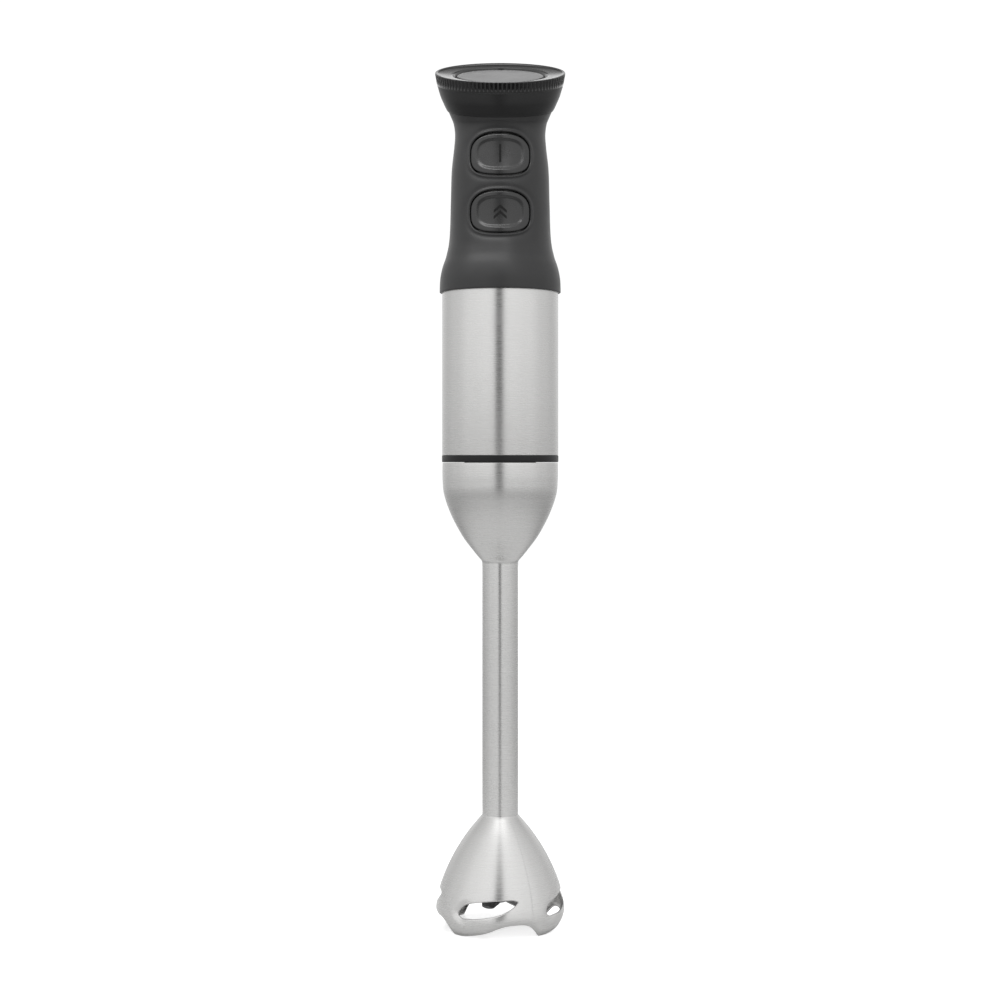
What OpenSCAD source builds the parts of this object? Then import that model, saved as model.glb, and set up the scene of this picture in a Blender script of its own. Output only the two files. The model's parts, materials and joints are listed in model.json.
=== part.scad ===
// Immersion blender: motor unit with a tilted speed dial and two push buttons, a pull-off steel
// stick, and a bell-shaped guard round the blade. Origin on the axis at the floor, +Z up, front is -Y.

/* [Bell] */
// Height of the bell from its rim to the neck
bell_h = 52.5; // [50:0.5:55]
// Largest outside radius of the bell
bell_r = 30.4; // [29.5:0.1:31.5]
// Thickness of the bell's sheet
bell_wall = 1; // [0.8:0.1:1.2]
// Number of side slots
slots = 4; // [3:1:5]
// Number of rim arches
arches = 4; // [2:1:4]

/* [Stick] */
// Length of the bare tube between the bell and the cone
tube_len = 120; // [90:1:160]
// Outside radius of the tube
tube_r = 8.5; // [8.3:0.1:9]
// Height of the cone
cone_h = 46.7; // [45:0.1:50]
// Outside radius of the cone's mouth
cone_r = 27.3; // [27:0.1:27.5]
// Radius of the drive shaft
drive_r = 2.5; // [2.3:0.1:2.6]

/* [Blade] */
// Radius at the blade's tips
blade_r = 21.5; // [18:0.5:24]
// Width of a wing
blade_w = 8; // [7:0.5:10]
// Thickness of the blade
blade_t = 1.2; // [1:0.1:1.5]
// Angle by which one wing dips and the other one rises
blade_bend = 13; // [8:1:14]

/* [Motor unit] */
// Height of the black ring between the cone and the sleeve
ring_h = 3.3; // [3:0.1:4]
// Height of the steel sleeve in sight
sleeve_h = 77; // [77:1:90]
// Outside radius of the sleeve
sleeve_r = 27.5; // [27.4:0.1:27.6]
// Height of the grip up to the collar, at its sides
grip_h = 86.3; // [84:0.1:90]
// Wall of the grip
grip_wall = 2; // [1.8:0.1:2.2]
// Lean of the dial towards the front
dial_tilt = 20; // [17:1:22]
// Outside radius of the dial
dial_r = 31; // [30.5:0.1:31.2]
// Height of the dial's ribbed band
band_h = 5.4; // [5:0.1:6]
// Number of ribs on the dial
ribs = 96; // [60:4:120]
// Radius of the disc in the dial
disc_r = 20.6; // [19:0.1:22]

/* [Buttons] */
// Width of a button
button_w = 27.3; // [25:0.1:28]
// Height of a button
button_h = 19; // [17:0.1:19.5]
// Gap round a button
button_gap = 0.7; // [0.5:0.1:0.8]

/* [Hidden] */
$fn = 96;

// Overlap that lets a cutter pass through a face, running clearance and facet steps
eps = 1;
run = 0.03;
around = 60;

// Heights of the joints between the outside parts
z_cone = bell_h + tube_len;
z_ring = z_cone + cone_h;
z_sleeve = z_ring + ring_h;
z_grip = z_sleeve + sleeve_h;
waist_h = 0.865 * grip_h;
z_waist = z_grip + waist_h;
z_part = z_grip + grip_h;
z_dial = z_part + 18.3;

// Catmull-Rom curve through the points p, with n steps to each span
function knot(p, i) = p[max(0, min(len(p) - 1, i))];
function blend(a, b, c, d, t) =
    b + 0.5 * t * (c - a + t * (2 * a - 5 * b + 4 * c - d + t * (3 * b - a - 3 * c + d)));
function curve(p, n) = concat([for (i = [0 : len(p) - 2], k = [0 : n - 1])
    blend(knot(p, i - 1), knot(p, i), knot(p, i + 1), knot(p, i + 2), k / n)], [p[len(p) - 1]]);
function loop(p, n) = [for (i = [0 : len(p) - 1], k = [0 : n - 1])
    blend(p[(i + len(p) - 1) % len(p)], p[i], p[(i + 1) % len(p)], p[(i + 2) % len(p)], k / n)];

// A curve moved sideways by d, to its left, and a list turned round
function side(v, d) = d * [-v[1], v[0]] / norm(v);
function inset(p, d) = [for (i = [0 : len(p) - 1]) p[i] + side(knot(p, i + 1) - knot(p, i - 1), d)];
function back(p) = [for (i = [len(p) - 1 : -1 : 0]) p[i]];

// Outer lines, each point as radius and height
bell_line = curve([for (p = [[0.28, 1], [0.495, 0.85], [0.679, 0.69], [0.823, 0.53],
    [0.933, 0.37], [0.982, 0.26], [1, 0.17], [0.977, 0.07], [0.945, 0.03], [0.905, 0]])
    [max(tube_r, p[0] * bell_r), p[1] * bell_h]], 3);
cone_line = curve([for (p = [[1, 1], [1, 0.82], [0.97, 0.67], [0.85, 0.47], [0.66, 0.26],
    [0.47, 0.11], [0.38, 0.04]]) [p[0] * cone_r, z_cone + p[1] * cone_h]], 3);
grip_line = curve([for (p = [[28.7, 0], [28.45, 0.072], [27.35, 0.138], [25.5, 0.203],
    [24, 0.302], [23.4, 0.5], [23, 0.665], [21.8, 0.796], [21.4, 0.865]])
    [p[0], z_grip + p[1] * grip_h]], 2);

// Tilted circles above the waist: each is set forward by y, at height z, with radius and lean
grip_rings = curve([[0, z_waist, 21.4, 0], [0, z_waist + 0.42 * (z_part - z_waist), 21.95, 6],
    [0, z_waist + 0.66 * (z_part - z_waist), 22.9, 11], [0, z_part, 24.6, dial_tilt - 3]], 2);
collar_gap = 0.2;
collar_top = band_h + collar_gap;
collar_y = collar_top * sin(dial_tilt);
collar_z = z_dial - collar_top * cos(dial_tilt);
collar_rings = curve([for (p = [[0, 24.9], [0.1, 25.7], [0.32, 27], [0.54, 28.2], [0.76, 29.1],
    [1, 29.95]]) [p[0] * collar_y, z_part + p[0] * (collar_z - z_part), p[1],
    dial_tilt - 3 + 3 * p[0]]], 2);

// Radius of the grip at a height, read from its line
function grip_r(z) = lookup(z, [for (p = grip_line) [p[1], p[0]]]);

// Shell swept round the axis between two stacks of tilted circles, from one angle to another
function shrink(rings, t) = [for (q = rings) q - [0, 0, t, 0]];
function level(line) = [for (p = line) [0, p[1], p[0], 0]];
function ring_point(q, a) =
    [q[2] * cos(a), q[0] + q[2] * sin(a) * cos(q[3]), q[1] + q[2] * sin(a) * sin(q[3])];
module ring_shell(outer, inner, from, to) {
    whole = to - from >= 360;
    n = whole ? around : around / 2;
    count = whole ? n : n + 1;
    rings = concat(outer, back(inner));
    m = len(rings);
    points = [for (j = [0 : count - 1], q = rings) ring_point(q, from + (to - from) * j / n)];
    sides = [for (j = [0 : n - 1], k = [0 : m - 1])
        let (a = j * m + k, b = j * m + (k + 1) % m, c = ((j + 1) % count) * m + (k + 1) % m,
        d = ((j + 1) % count) * m + k) each [[a, b, c], [a, c, d]]];
    ends = whole ? [] : [[for (k = [m - 1 : -1 : 0]) k], [for (k = [0 : m - 1]) n * m + k]];
    polyhedron(points, concat(sides, ends));
}

// Coil spring along +Z
module coil(r, wire, length, turns) {
    per = 14;
    n = turns * per;
    pitch = (length - 2 * wire) / turns;
    points = [for (j = [0 : n], k = [0 : 5]) let (a = 360 * j / per, b = 60 * k, c = r + wire * cos(b))
        [c * cos(a), c * sin(a), wire + pitch * j / per + wire * sin(b)]];
    sides = [for (j = [0 : n - 1], k = [0 : 5]) let (a = 6 * j + k, b = 6 * j + (k + 1) % 6)
        each [[a, a + 6, b + 6], [a, b + 6, b]]];
    polyhedron(points, concat(sides, [[for (k = [0 : 5]) k], [for (k = [5 : -1 : 0]) 6 * n + k]]));
}

// Small shapes used over and over
module tube(r, bore, low, high) {
    translate([0, 0, low])
        difference() {
            cylinder(r = r, h = high - low);
            translate([0, 0, -eps])
                cylinder(r = bore, h = high - low + 2 * eps);
        }
}

module box(low, high) {
    translate(low)
        cube(high - low);
}

module rounded(w, h, r) {
    square([w, h - 2 * r], center = true);
    square([w - 2 * r, h], center = true);
    for (x = [-1, 1], y = [-1, 1])
        translate([x * (w / 2 - r), y * (h / 2 - r)])
            circle(r = r);
}

module forwards(from, to) {
    translate([0, -from, 0])
        rotate([90, 0, 0])
            linear_extrude(height = to - from)
                children();
}

module dial_frame() {
    translate([0, 0, z_dial])
        rotate([dial_tilt, 0, 0])
            children();
}

// Bell: one sheet, turned in at the rim, with slots through its side and arches in its rim
rim_land = 1;
slot_mid = -13;
slot_line = [for (p = [[-42, 0.214], [-38, 0.259], [-31.6, 0.291], [-19.6, 0.316], [-3, 0.333],
    [10.4, 0.341], [15.6, 0.323], [10.4, 0.274], [-1.4, 0.215], [-19.6, 0.181], [-29.5, 0.171],
    [-38, 0.165]]) [0.965 * bell_r * sin(p[0] - slot_mid), p[1] * bell_h]];
arch_line = [for (p = [[-41, 0], [-35, 0.006], [-28, 0.017], [-20, 0.032], [-13, 0.05], [-8, 0.069],
    [-3, 0.09], [4, 0.112], [10, 0.121], [16, 0.124], [22, 0.121], [27, 0.108], [31, 0.085],
    [35, 0.05], [38, 0.02], [40.5, 0]]) [0.95 * bell_r * sin(p[0]), p[1] * bell_h]];
neck_in = tube_r - 0.8;
plug_r = neck_in - 0.8;
neck_top = bell_h + 7.5;

module blade_guard() {
    inner = [for (p = inset(bell_line, -bell_wall)) if (p[1] > bell_wall && p[0] > plug_r) p];
    rim = bell_line[len(bell_line) - 1];
    color("silver")
        difference() {
            rotate_extrude()
                polygon(concat([[plug_r, neck_top], [neck_in, neck_top], [neck_in, bell_h]],
                    bell_line, [rim - [rim_land, 0]], back(inner), [[plug_r, bell_h - 2]]));
            for (k = [0 : slots - 1])
                rotate([0, 0, slot_mid + 360 * k / slots])
                    forwards(tube_r, bell_r + eps)
                        polygon(loop(slot_line, 2));
            for (k = [0 : arches - 1])
                rotate([0, 0, 360 * k / arches])
                    forwards(0, bell_r + eps)
                        polygon(concat(curve(arch_line, 2), [[0.95 * bell_r, -eps], [-0.95 * bell_r, -eps]]));
        }
}

module shaft_tube() {
    color("silver")
        tube(tube_r, neck_in, bell_h, z_cone + 9);
}

// Bearing plug in the bell's neck, with the lower bush and the seal under it
bush_r = 4.5;
plug_low = bell_h - 9.5;
seal_low = plug_low - 3.5;

module bearing_plug() {
    color("dimgray")
        difference() {
            union() {
                translate([0, 0, plug_low])
                    cylinder(r = plug_r, h = neck_top - plug_low);
                translate([0, 0, plug_low])
                    cylinder(r = 1.4 * plug_r, h = 3);
            }
            translate([0, 0, -eps])
                cylinder(r = bush_r, h = neck_top + 2 * eps);
        }
}

module lower_shaft_bush() {
    color("peru")
        tube(bush_r, drive_r + run, plug_low + 2, neck_top - 1);
}

module shaft_seal() {
    color("black")
        rotate_extrude()
            polygon([[drive_r + run, seal_low], [7, seal_low + 1.5], [7.4, plug_low],
                [bush_r, plug_low], [bush_r, plug_low + 2], [drive_r + run, plug_low + 2]]);
}

// Blade: hub above, sharpened wings, cap nut below
blade_z = 16;
blade_turn = -15;
thread_r = 2;
groove_r = drive_r - 0.4;
circlip_z = neck_top + 0.5;
circlip_t = 0.8;
shaft_top = z_ring - 8.7;

module drive_shaft() {
    color("lightgray")
        union() {
            translate([0, 0, blade_z - 3.6])
                cylinder(r = thread_r, h = 5);
            translate([0, 0, blade_z + blade_t])
                cylinder(r = drive_r, h = circlip_z - blade_z - blade_t);
            translate([0, 0, circlip_z - eps])
                cylinder(r = groove_r, h = circlip_t + 2 * eps);
            translate([0, 0, circlip_z + circlip_t])
                cylinder(r = drive_r, h = shaft_top - circlip_z - circlip_t);
        }
}

module shaft_circlip() {
    color("gray")
        difference() {
            tube(bush_r, groove_r, circlip_z, circlip_z + circlip_t);
            box([-1, 0, circlip_z - eps], [1, 2 * bush_r, circlip_z + circlip_t + eps]);
        }
}

module blade_hub() {
    color("silver")
        difference() {
            translate([0, 0, blade_z + blade_t])
                union() {
                    cylinder(r1 = 4.8, r2 = 4, h = 5);
                    cylinder(r = 4, h = seal_low - blade_z - blade_t - 0.5);
                }
            cylinder(r = drive_r, h = bell_h);
        }
}

module wing(lean) {
    knife = [[-blade_w / 2, blade_t - 0.3], [-blade_w / 2, blade_t], [blade_w / 2, blade_t],
        [blade_w / 2, 0], [1.5 - blade_w / 2, 0]];
    translate([0, -5, 0])
        rotate([lean, 0, 0])
            intersection() {
                forwards(0, blade_r - 5)
                    polygon(knife);
                linear_extrude(height = 3 * blade_t)
                    union() {
                        translate([-blade_w / 2, 4 - blade_r + 5])
                            square([blade_w, blade_r - 7 + 4]);
                        translate([0, 4 - blade_r + 5])
                            circle(r = blade_w / 2);
                    }
            }
}

module blade() {
    color("silver")
        translate([0, 0, blade_z])
            rotate([0, 0, blade_turn])
                difference() {
                    union() {
                        cylinder(r = 6.5, h = blade_t);
                        wing(blade_bend);
                        rotate([0, 0, 180])
                            wing(-blade_bend);
                    }
                    translate([0, 0, -eps])
                        cylinder(r = thread_r, h = 5 * eps);
                }
}

module blade_nut() {
    color("silver")
        difference() {
            translate([0, 0, blade_z - 5])
                union() {
                    cylinder(r1 = 2.4, r2 = 3.4, h = 2);
                    translate([0, 0, 1.5])
                        cylinder(r = 4.2, h = 3.5, $fn = 6);
                }
            translate([0, 0, blade_z - 3.6])
                cylinder(r = thread_r, h = 5);
        }
}

// Cone and the carrier in its mouth
cone_wall = 0.7;
boss_r = 17;
boss_low = z_ring - 12.2;
floor_top = z_ring - 12.7;
carrier_r = cone_r - 1.8;
neck_h = 2;

module stick_cone() {
    inner = [for (p = inset(cone_line, -cone_wall)) if (p[0] > tube_r + 0.5 && p[1] < z_ring) p];
    color("silver")
        rotate_extrude()
            polygon(concat([[cone_r - cone_wall, z_ring]], cone_line, [[tube_r + 0.4, z_cone - neck_h],
                [tube_r, z_cone - neck_h], [tube_r, z_cone + 3]], back(inner)));
}

module coupling_carrier() {
    color("dimgray")
        difference() {
            union() {
                translate([0, 0, floor_top - 3])
                    cylinder(r = carrier_r, h = z_ring - 0.5 - floor_top + 3);
                translate([0, 0, z_ring - 3])
                    cylinder(r = cone_r - cone_wall, h = 2.5);
                translate([0, 0, floor_top - 20])
                    cylinder(r = 6.5, h = 20);
            }
            translate([0, 0, floor_top])
                cylinder(r = boss_r + 0.15, h = 20);
            translate([0, 0, z_cone])
                cylinder(r = bush_r, h = cone_h);
            for (a = [0 : 30 : 330])
                rotate([0, 0, a])
                    translate([(boss_r + carrier_r) / 2, 0, floor_top - 2])
                        cylinder(r = 2.6, h = 20);
        }
}

module upper_shaft_bush() {
    color("peru")
        tube(bush_r, drive_r + run, floor_top - 18, floor_top - 3);
}

// Six-sided dog and socket between the motor and the stick
dog_r = 5;
dog_gap = 0.2;
socket_top = z_ring - 4.2;

module driven_coupling() {
    color("black")
        difference() {
            translate([0, 0, floor_top + 0.5])
                cylinder(r = 7.5, h = socket_top - floor_top - 0.5);
            cylinder(r = drive_r, h = shaft_top);
            translate([0, 0, shaft_top])
                cylinder(r = dog_r + dog_gap, h = 20, $fn = 6);
        }
}

rotor_r = 3;
module motor_coupling() {
    color("black")
        difference() {
            union() {
                translate([0, 0, socket_top + 0.6])
                    cylinder(r = 7, h = z_sleeve - socket_top - 1.1);
                translate([0, 0, shaft_top + 0.4])
                    cylinder(r = dog_r, h = socket_top - shaft_top + 0.6, $fn = 6);
            }
            translate([0, 0, socket_top + 2])
                cylinder(r = rotor_r, h = 20);
        }
}

// Foot of the motor unit
sleeve_wall = 0.6;
sleeve_in = sleeve_r - sleeve_wall;
cap_t = 3.5;
damper_out = sleeve_in - 0.9;
o_ring_wire = 0.75;
o_ring_z = z_ring - 7;

module base_ring() {
    color("black")
        tube(sleeve_r + 0.1, boss_r, z_ring, z_sleeve);
}

module bottom_cap() {
    color("dimgray")
        difference() {
            union() {
                translate([0, 0, boss_low])
                    cylinder(r = boss_r, h = z_sleeve - boss_low);
                translate([0, 0, z_sleeve])
                    cylinder(r = sleeve_in, h = 13.5);
            }
            translate([0, 0, boss_low - eps])
                cylinder(r = 14, h = z_sleeve - boss_low + eps);
            cylinder(r = rotor_r + 1, h = z_grip);
            translate([0, 0, z_sleeve + cap_t])
                cylinder(r = damper_out, h = 20);
            tube(boss_r + eps, boss_r - 1.5, o_ring_z - o_ring_wire, o_ring_z + o_ring_wire);
        }
}

module coupling_o_ring() {
    color("black")
        translate([0, 0, o_ring_z])
            rotate_extrude()
                translate([boss_r - 0.65, 0])
                    circle(r = o_ring_wire);
}

module motor_sleeve() {
    color("silver")
        tube(sleeve_r, sleeve_in, z_sleeve, z_grip + 3.5);
}

// Motor: its brackets, stator and brush gear
z_low = z_sleeve + cap_t;
z_fan = z_sleeve + 16.5;
z_core = z_sleeve + 29.5;
core_h = 32;
core_top = z_core + core_h;
z_comm = core_top + 6.5;
comm_h = 12.5;
comm_r = 9.5;
brush_z = z_comm + comm_h / 2;
z_top = z_grip + 4.5;
bracket_r = 24.2;
bore_r = 14.5;
core_r = 24.4;
yoke_r = 19.8;
screw_at = 22.3;
screw_r = 1.5;
motor_bush_r = 5.5;

module bracket(low, boss_h) {
    difference() {
        union() {
            translate([0, 0, low])
                cylinder(r = bracket_r, h = 5);
            translate([0, 0, low])
                cylinder(r = 8.5, h = boss_h);
            children();
        }
        translate([0, 0, low - eps])
            cylinder(r = motor_bush_r, h = boss_h + 2 * eps);
        for (a = [45 : 90 : 315])
            rotate([0, 0, a])
                translate([15, 0, low - eps])
                    cylinder(r = 5, h = 20);
        for (y = [-1, 1])
            translate([0, y * screw_at, low - eps])
                cylinder(r = screw_r, h = 20);
    }
}

module lower_bracket() {
    color("gainsboro")
        bracket(z_low, 9);
}

module upper_bracket() {
    color("dimgray")
        bracket(z_top, 9)
            for (x = [-1, 1])
                translate([x * 16.5 - 5.5, -4.5, brush_z + 4.6])
                    cube([11, 9, z_top - brush_z - 4.6 + eps]);
}

module lower_damper() {
    color("black")
        tube(damper_out, bracket_r, z_low, z_low + 5);
}

module upper_damper() {
    color("black")
        tube(grip_r(z_top + 5) - grip_wall, bracket_r, z_top, z_top + 5);
}

module motor_bush(low) {
    color("peru")
        tube(motor_bush_r, rotor_r + run, low, low + 8);
}

module stator_core() {
    color("gray")
        difference() {
            union() {
                tube(core_r, yoke_r, z_core, core_top);
                for (a = [-90, 90])
                    rotate([0, 0, a - 34.5])
                        translate([0, 0, z_core])
                            rotate_extrude(angle = 69)
                                translate([bore_r, 0])
                                    square([yoke_r - bore_r + 0.5, core_h]);
            }
            for (y = [-1, 1])
                translate([0, y * screw_at, z_core - eps])
                    cylinder(r = screw_r, h = core_h + 2 * eps);
        }
}

module field_coil(a) {
    color("chocolate")
        difference() {
            rotate([0, 0, a - 60])
                translate([0, 0, z_core - 4])
                    rotate_extrude(angle = 120)
                        translate([bore_r + 1, 0])
                            square([yoke_r - bore_r - 1.1, core_h + 8]);
            rotate([0, 0, a - 35])
                translate([0, 0, z_core])
                    rotate_extrude(angle = 70)
                        translate([bore_r, 0])
                            square([yoke_r - bore_r, core_h]);
        }
}

module motor_screws() {
    color("lightgray")
        for (y = [-1, 1])
            translate([0, y * screw_at, 0]) {
                translate([0, 0, z_low + 0.5])
                    cylinder(r = screw_r, h = z_top + 5 - z_low - 0.5);
                translate([0, 0, z_top + 5])
                    cylinder(r = 1.8, h = 1.6);
            }
}

module brush(x) {
    color("black")
        difference() {
            box([min(x * 9, x * 16), -2.5, brush_z - 3], [max(x * 9, x * 16), 2.5, brush_z + 3]);
            translate([0, 0, z_comm - 5])
                cylinder(r = comm_r + 0.05, h = 30);
        }
}

module brush_holder(x) {
    color("goldenrod")
        difference() {
            box([min(x * 11.5, x * 22), -3.3, brush_z - 4.6], [max(x * 11.5, x * 22), 3.3, brush_z + 4.6]);
            box([min(x * 10, x * 21.2), -2.5, brush_z - 3], [max(x * 10, x * 21.2), 2.5, brush_z + 3]);
        }
}

module brush_spring(x) {
    color("lightgray")
        translate([x * 16, 0, brush_z])
            rotate([0, x * 90, 0])
                coil(1.7, 0.25, 5.2, 4);
}

// Rotor
module motor_shaft() {
    color("lightgray")
        translate([0, 0, socket_top + 2])
            cylinder(r = rotor_r, h = z_top + 9.5 - socket_top - 2);
}

armature_r = 14;
teeth = 12;
slot_at = 11;

module armature_core() {
    color("gray")
        difference() {
            tube(armature_r, rotor_r, z_core, core_top);
            for (k = [0 : teeth - 1])
                rotate([0, 0, 360 * k / teeth]) {
                    translate([slot_at, 0, z_core - eps])
                        cylinder(r = 1.8, h = core_h + 2 * eps);
                    box([slot_at, -0.6, z_core - eps], [armature_r + eps, 0.6, core_top + eps]);
                }
        }
}

module armature_winding() {
    color("chocolate")
        union() {
            for (k = [0 : teeth - 1])
                rotate([0, 0, 360 * k / teeth])
                    translate([slot_at, 0, z_core - 2])
                        cylinder(r = 1.7, h = core_h + 4);
            tube(slot_at + 1.6, rotor_r + 1.5, z_core - 4.5, z_core - 0.2);
            tube(slot_at + 1.6, rotor_r + 1.5, core_top + 0.2, core_top + 5);
        }
}

module commutator() {
    color("peru")
        difference() {
            union() {
                tube(comm_r, rotor_r, z_comm, z_comm + comm_h);
                tube(comm_r + 1.5, rotor_r, z_comm, z_comm + 1.5);
            }
            for (k = [0 : teeth - 1])
                rotate([0, 0, 360 * (k + 0.5) / teeth])
                    box([comm_r - 0.8, -0.25, z_comm - eps], [comm_r + 3, 0.25, z_comm + comm_h + eps]);
        }
}

fan_r = 20;
fan_blades = 9;
module cooling_fan() {
    color("dimgray")
        difference() {
            union() {
                translate([0, 0, z_fan])
                    cylinder(r = fan_r, h = 1.4);
                translate([0, 0, z_fan])
                    cylinder(r = 6, h = 7.5);
                for (k = [0 : fan_blades - 1])
                    rotate([0, 0, 360 * k / fan_blades])
                        box([5, 1, z_fan], [fan_r - 1, 2.2, z_fan + 6.5]);
            }
            translate([0, 0, z_fan - eps])
                cylinder(r = rotor_r, h = 10);
        }
}

// Grip: two half shells, open at the front for the buttons
on_z = z_grip + 0.725 * grip_h;
turbo_z = z_grip + 0.414 * grip_h;
board_x = 14;
board_y = -3;
board_t = 1.6;
board_low = z_grip + 22;
board_high = z_waist + 2;
post_x = 11;
post_z = [board_low + 3, board_high - 6];
inlet_z = z_grip + 0.62 * grip_h;
inlet_r = 3.5;
grommet_r = 5;
socket_h = 3.5;

module half_grip(turn) {
    z_socket = z_grip + socket_h;
    upper = [for (i = [1 : len(grip_rings) - 1]) grip_rings[i]];
    inner = concat([[grip_r(z_socket), z_socket]], [for (p = grip_line) if (p[1] > z_socket + 1) p]);
    ring_shell(concat(level(grip_line), upper),
        concat(level([[sleeve_r, z_grip], [sleeve_r, z_socket]]), shrink(level(inner), grip_wall),
            shrink(upper, grip_wall)), turn, turn + 180);
}

module button_outline(zc, grow) {
    translate([0, zc])
        rounded(button_w + 2 * grow, button_h + 2 * grow, 5 + grow);
}

module handle_front_shell() {
    color("darkslategray")
        difference() {
            half_grip(180);
            for (zc = [on_z, turbo_z])
                forwards(5, 30)
                    button_outline(zc, button_gap);
        }
}

module handle_rear_shell() {
    color("darkslategray")
        difference() {
            union() {
                half_grip(0);
                for (x = [-post_x, post_x], z = post_z)
                    intersection() {
                        translate([x, board_y + board_t, z])
                            rotate([-90, 0, 0])
                                cylinder(r = 2.6, h = 30);
                        translate([0, 0, z - 5])
                            cylinder(r = grip_r(z) - grip_wall / 2, h = 10);
                    }
            }
            for (x = [-post_x, post_x], z = post_z)
                translate([x, board_y, z])
                    rotate([-90, 0, 0])
                        cylinder(r = 1.1, h = 11);
            translate([0, 10, inlet_z])
                rotate([-90, 0, 0])
                    cylinder(r = grommet_r, h = 20);
        }
}

module cord_inlet() {
    color("black")
        translate([0, 0, inlet_z])
            rotate([-90, 0, 0])
                difference() {
                    rotate_extrude()
                        polygon([[inlet_r, 17.4], [7, 17.4], [7, 19.2], [grommet_r, 19.2],
                            [grommet_r, 27], [grommet_r - 0.4, 29.4], [inlet_r, 29.4]]);
                    for (h = [24.5, 27])
                        tube(grommet_r + eps, grommet_r - 0.7, h, h + 1);
                }
}

// Buttons: curved caps with a hidden flange and a post; both faces follow the grip
cap_sink = 0.3;
flange_sink = 2.1;
cap_in = 3.3;
flange_grow = 1.6;
switch_y = -11;

module grip_layer(zc, out, in) {
    line = [for (p = grip_line) if (abs(p[1] - zc) < button_h) p];
    rotate([0, 0, 180])
        rotate_extrude(angle = 180)
            polygon(concat([for (p = line) p - [out, 0]], back([for (p = line) p - [in, 0]])));
}

module button(zc) {
    color("dimgray")
        union() {
            intersection() {
                grip_layer(zc, cap_sink, cap_in);
                forwards(0, 30)
                    button_outline(zc, 0);
            }
            intersection() {
                grip_layer(zc, flange_sink, cap_in);
                forwards(0, 30)
                    button_outline(zc, flange_grow);
            }
            translate([0, 2.2 + switch_y, zc])
                rotate([90, 0, 0])
                    cylinder(r = 1.5, h = grip_r(zc) - cap_in + 0.6 + switch_y + 2.2);
        }
}

module button_spring(zc) {
    color("lightgray")
        translate([0, switch_y, zc])
            rotate([90, 0, 0])
                coil(2.7, 0.35, grip_r(zc) - cap_in - 0.1 + switch_y, 5);
}

module switch_body(zc) {
    color("black")
        difference() {
            box([-6, switch_y, zc - 6], [6, board_y, zc + 6]);
            translate([0, switch_y - eps, zc])
                rotate([-90, 0, 0])
                    cylinder(r = 1.65, h = 6);
        }
}

// Electronics behind the buttons
module circuit_board() {
    color("darkgreen")
        difference() {
            box([-board_x, board_y, board_low], [board_x, board_y + board_t, board_high]);
            for (x = [-post_x, post_x], z = post_z)
                translate([x, board_y - eps, z])
                    rotate([-90, 0, 0])
                        cylinder(r = 1.1, h = 5);
        }
}

module board_screws() {
    color("lightgray")
        for (x = [-post_x, post_x], z = post_z)
            translate([x, board_y, z])
                rotate([-90, 0, 0]) {
                    cylinder(r = 1.1, h = 9);
                    translate([0, 0, -1.3])
                        cylinder(r = 2.2, h = 1.3);
                }
}

module triac() {
    color("black")
        box([-5, board_y + board_t, on_z - 24], [5, board_y + board_t + 4, on_z - 14]);
}

module heat_sink() {
    low = board_y + board_t + 4;
    color("gainsboro")
        union() {
            box([-9, low, on_z - 30], [9, low + 1.5, on_z - 12]);
            for (x = [-9, -5.4, -1.8, 1.8, 5.4])
                box([x, low + 1, on_z - 30], [x + 1.2, low + 8, on_z - 12]);
        }
}

module capacitor() {
    color("gold")
        box([-7, board_y + board_t, board_low + 0.2], [7, board_y + board_t + 8, board_low + 10.2]);
}

// Dial on its collar
plate_low = -9;
plate_high = -7.5;
web_low = -4.4;
web_high = -2.6;
rib_depth = 0.5;

module dial_collar() {
    color("darkslategray")
        union() {
            ring_shell(collar_rings, shrink(collar_rings, grip_wall), 0, 360);
            dial_frame()
                tube(27.6, 4, plate_low, plate_high);
        }
}

module potentiometer() {
    color("gray")
        dial_frame()
            difference() {
                union() {
                    translate([0, 0, plate_low - 8.5])
                        cylinder(r = 8, h = 8.5);
                    translate([0, 0, plate_low])
                        cylinder(r = 4, h = 3);
                }
                translate([0, 0, plate_low - 7])
                    cylinder(r = 3 + run, h = 12);
            }
}

module potentiometer_nut() {
    color("lightgray")
        dial_frame()
            difference() {
                translate([0, 0, plate_high])
                    cylinder(r = 6, h = 1.4, $fn = 6);
                translate([0, 0, plate_low])
                    cylinder(r = 4, h = 5);
            }
}

module dial_shaft() {
    color("lightgray")
        dial_frame()
            translate([0, 0, plate_low - 6.8])
                cylinder(r = 3, h = web_high - plate_low + 6.8);
}

module speed_dial_ring() {
    step = 90 / ribs;
    outline = [for (k = [0 : ribs - 1], q = [[-1, 0], [1, 0], [1.4, 1], [2.6, 1]])
        (dial_r - rib_depth * q[1]) * [cos(4 * k * step + q[0] * step), sin(4 * k * step + q[0] * step)]];
    color("black")
        dial_frame()
            difference() {
                union() {
                    translate([0, 0, -band_h])
                        linear_extrude(height = band_h - 0.4)
                            polygon(outline);
                    translate([0, 0, -1])
                        cylinder(r = dial_r - rib_depth - 0.1, h = 1);
                }
                rotate_extrude()
                    polygon([[0, eps], [dial_r - 1.2, eps], [dial_r - 1.2, 0], [dial_r - 1.8, -0.3],
                        [disc_r + 1, -1.1], [disc_r, -1.1], [disc_r, web_high], [0, web_high]]);
                difference() {
                    translate([0, 0, -band_h - eps])
                        cylinder(r = dial_r - 3, h = band_h + web_low + eps);
                    translate([0, 0, -band_h])
                        cylinder(r = 6, h = band_h);
                }
                translate([0, 0, -band_h - eps])
                    cylinder(r = 3, h = band_h + eps);
            }
}

module dial_disc() {
    color("gray")
        dial_frame()
            translate([0, 0, web_high])
                cylinder(r = disc_r, h = 0.8);
}

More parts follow.
